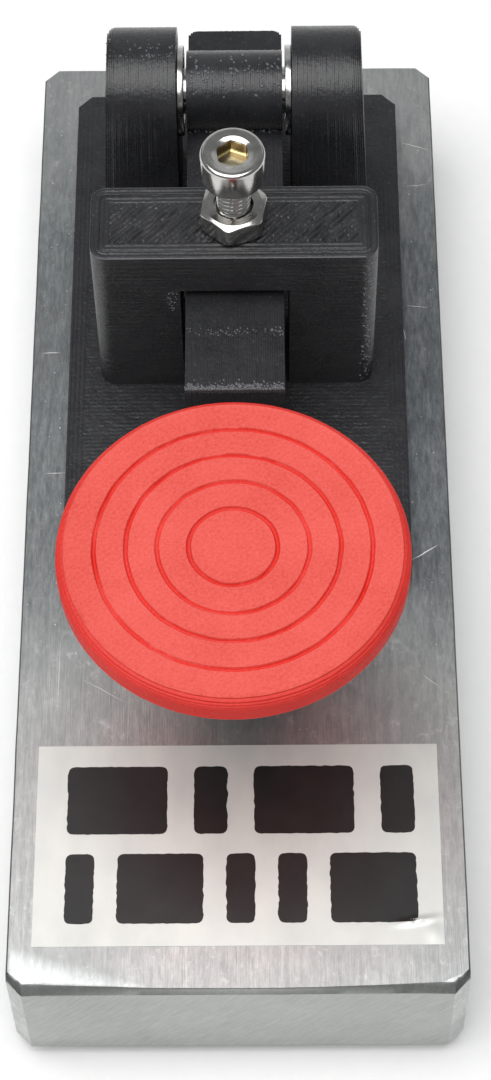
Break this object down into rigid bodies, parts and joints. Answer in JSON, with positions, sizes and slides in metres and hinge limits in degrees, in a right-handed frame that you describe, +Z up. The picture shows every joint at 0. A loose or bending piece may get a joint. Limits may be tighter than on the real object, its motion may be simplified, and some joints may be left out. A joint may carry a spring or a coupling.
{
  "type": "straight morse key",
  "caption": "Small straight morse key: a bar-mounted printed frame holds a sprung rocking lever with a round finger knob, a gap screw on a bridge and a rear socket.",
  "frame": {"origin": "middle of the bar's outline at the level the rubber feet rest on", "axes": "+X right, +Y towards the rear socket, +Z up"},
  "size_m": [0.0382, 0.098, 0.0452],
  "materials": {
    "bar_aluminium": "brushed",
    "foot_rubber": "matte",
    "black_print": "satin printed",
    "red_print": "matte printed",
    "brass": "bare",
    "steel": "bright",
    "bearing_steel": "polished",
    "jack_plastic": "moulded",
    "red_insulation": "smooth",
    "black_insulation": "smooth",
    "label_foil": "satin sticker"
  },
  "bodies": {
    "frame": {"aluminium_bar": "bar_aluminium", "rubber_feet": "foot_rubber", "base_plate_print": "black_print", "left_post": "black_print", "right_post": "black_print", "gap_bridge": "black_print", "frame_screws": "steel", "frame_inserts": "brass", "gap_insert": "brass", "bearing_outer_rings": "bearing_steel", "bearing_balls": "bearing_steel", "bearing_shields": "bearing_steel", "fixed_contact_screw": "brass", "fixed_contact_tag": "brass", "fixed_contact_nut": "brass", "spring_cup": "brass", "return_spring": "steel", "jack_housing": "jack_plastic", "jack_bush": "bearing_steel", "jack_tags": "bearing_steel", "contact_wire": "red_insulation", "spring_lead": "black_insulation", "label": "label_foil"},
    "lever": {"lever_arm": "black_print", "knob": "red_print", "knob_insert": "brass", "knob_screw": "steel", "pivot_shaft": "steel", "pivot_spacers": "steel", "shaft_grub_screw": "steel", "bearing_inner_rings": "bearing_steel", "moving_contact_stud": "brass", "moving_contact_insert": "brass", "moving_contact_nut": "brass", "contact_strip": "brass"},
    "gap_screw": {"gap_screw": "steel"},
    "lock_nut": {"gap_lock_nut": "steel"}
  },
  "joints": [
    {"name": "lever_rock", "type": "hinge", "parent": "frame", "child": "lever", "pos_m": [0, 0.0302, 0.0324], "axis": [1, 0, 0], "range_deg": [0, 1], "stiffness_Nm_per_rad": 1, "springref_deg": -3.44, "deforming": ["return_spring"]},
    {"name": "gap_screw_turn", "type": "hinge", "parent": "frame", "child": "gap_screw", "pos_m": [0, 0.0128, 0.0359], "axis": [0, 0, 1], "range_deg": [-210, 1080]},
    {"name": "lock_nut_turn", "type": "hinge", "parent": "frame", "child": "lock_nut", "pos_m": [0, 0.0128, 0.0359], "axis": [0, 0, 1], "range_deg": [0, 720]}
  ]
}
